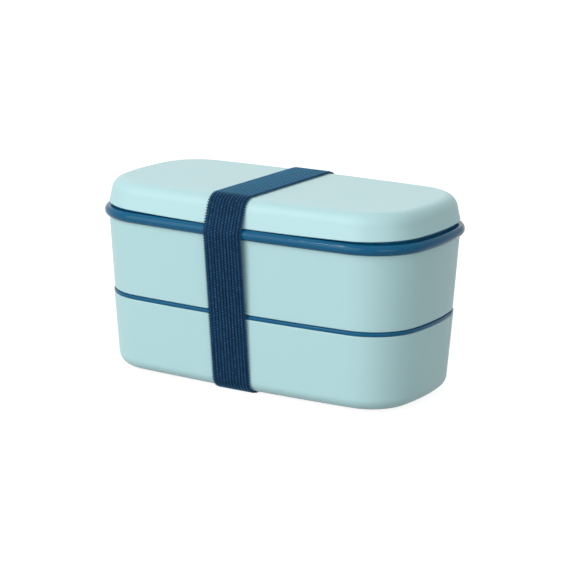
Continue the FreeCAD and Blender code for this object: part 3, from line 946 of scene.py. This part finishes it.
def makeBandTree():
    tree, given, result = newTree("ribbedBand", {
        "Path": "Object", "Section": "Object", "Half Width": "Float", "Picot Pitch": "Float",
        "Picot Size": "Vector", "Picot Yarn": "Float", "Picot Row": "Float", "Material": "Material"})
    nodes, links = tree.nodes, tree.links
    flatWays = nodes.new("GeometryNodeSetCurveNormal")
    flatWays.mode = "FREE"
    flatWays.inputs["Normal"].default_value = (1, 0, 0)
    links.new(objectGeometry(nodes, links, given["Path"]), flatWays.inputs["Curve"])

    def withLength(curve):
        catch = nodes.new("GeometryNodeCaptureAttribute")
        catch.capture_items.new("FLOAT", "Length")
        run = nodes.new("GeometryNodeSplineParameter")
        links.new(curve, catch.inputs["Geometry"])
        links.new(run.outputs["Length"], catch.inputs["Length"])
        return catch.outputs["Geometry"], catch.outputs["Length"]

    pathCurve, along = withLength(flatWays.outputs["Curve"])
    sectionCurve, across = withLength(objectGeometry(nodes, links, given["Section"]))
    sweep = nodes.new("GeometryNodeCurveToMesh")
    links.new(pathCurve, sweep.inputs["Curve"])
    links.new(sectionCurve, sweep.inputs["Profile Curve"])

    def withWeaveMap(mesh, alongYarn, acrossYarn):
        places = nodes.new("ShaderNodeCombineXYZ")
        links.new(mathNode(nodes, links, "MULTIPLY", alongYarn, 1 / mm), places.inputs["X"])
        links.new(mathNode(nodes, links, "MULTIPLY", acrossYarn, 1 / mm), places.inputs["Y"])
        store = nodes.new("GeometryNodeStoreNamedAttribute")
        store.data_type = "FLOAT2"
        store.domain = "CORNER"
        store.inputs["Name"].default_value = "weave"
        links.new(mesh, store.inputs["Geometry"])
        links.new(places.outputs["Vector"], store.inputs["Value"])
        return store.outputs["Geometry"]

    merge = nodes.new("GeometryNodeMergeByDistance")
    merge.inputs["Distance"].default_value = weldDistance
    links.new(withWeaveMap(sweep.outputs["Mesh"], along, across), merge.inputs["Geometry"])

    halfRing = nodes.new("GeometryNodeCurveArc")
    halfRing.inputs["Resolution"].default_value = band["picotPoints"]
    halfRing.inputs["Radius"].default_value = 1.0
    halfRing.inputs["Start Angle"].default_value = -math.pi / 2
    halfRing.inputs["Sweep Angle"].default_value = math.pi
    loop = nodes.new("GeometryNodeTransform")
    links.new(halfRing.outputs["Curve"], loop.inputs["Geometry"])
    links.new(given["Picot Size"], loop.inputs["Scale"])
    yarn = nodes.new("GeometryNodeCurvePrimitiveCircle")
    yarn.inputs["Resolution"].default_value = band["yarnSides"]
    links.new(given["Picot Yarn"], yarn.inputs["Radius"])
    picot = nodes.new("GeometryNodeCurveToMesh")
    loopCurve, loopAlong = withLength(loop.outputs["Geometry"])
    links.new(loopCurve, picot.inputs["Curve"])
    links.new(yarn.outputs["Curve"], picot.inputs["Profile Curve"])
    picotMesh = withWeaveMap(picot.outputs["Mesh"], loopAlong, given["Picot Row"])
    stops = nodes.new("GeometryNodeCurveToPoints")
    stops.mode = "LENGTH"
    links.new(flatWays.outputs["Curve"], stops.inputs["Curve"])
    links.new(given["Picot Pitch"], stops.inputs["Length"])
    join = nodes.new("GeometryNodeJoinGeometry")
    links.new(merge.outputs["Geometry"], join.inputs["Geometry"])
    for side in (1, -1):
        aside = nodes.new("ShaderNodeCombineXYZ")
        links.new(mathNode(nodes, links, "MULTIPLY", given["Half Width"], side), aside.inputs["X"])
        edge = nodes.new("GeometryNodeSetPosition")
        links.new(stops.outputs["Points"], edge.inputs["Geometry"])
        links.new(aside.outputs["Vector"], edge.inputs["Offset"])
        turn = nodes.new("FunctionNodeAxesToRotation")
        turn.primary_axis = "X"
        turn.secondary_axis = "Y"
        turn.inputs["Primary Axis"].default_value = (side, 0, 0)
        links.new(stops.outputs["Tangent"], turn.inputs["Secondary Axis"])
        place = nodes.new("GeometryNodeInstanceOnPoints")
        links.new(edge.outputs["Geometry"], place.inputs["Points"])
        links.new(picotMesh, place.inputs["Instance"])
        links.new(turn.outputs["Rotation"], place.inputs["Rotation"])
        links.new(place.outputs["Instances"], join.inputs["Geometry"])
    smooth = nodes.new("GeometryNodeSetShadeSmooth")
    links.new(join.outputs["Geometry"], smooth.inputs["Geometry"])
    finishTree(nodes, links, smooth.outputs["Geometry"], given["Material"], result["Geometry"])
    return tree


def makeBand():
    halfWidth = band["wovenWidth"] / 2
    ribPitch = 2 * halfWidth / weave["ribs"]
    path = bandPath()
    section = bandSection(halfWidth, ribPitch)
    values = {
        "Path": path,
        "Section": section,
        "Half Width": halfWidth * mm,
        "Picot Pitch": band["picotPitch"] * mm,
        "Picot Size": (band["picotReach"] * mm, band["picotLength"] / 2 * mm, 1.0),
        "Picot Yarn": band["picotYarn"] * mm,
        # the picots take the rib crest row, so the painted highlight of the raised stitches lightens them
        "Picot Row": ribPitch / 2 * mm,
        "Material": makeElasticWeave(ribPitch),
    }
    piece = bakedObject("ribbedBand", [(makeBandTree(), values)])
    bpy.data.objects.remove(path)
    bpy.data.objects.remove(section)
    install(piece, "elastic_band", "elastic_band")


makeBand()
bpy.data.objects.remove(boxPath)
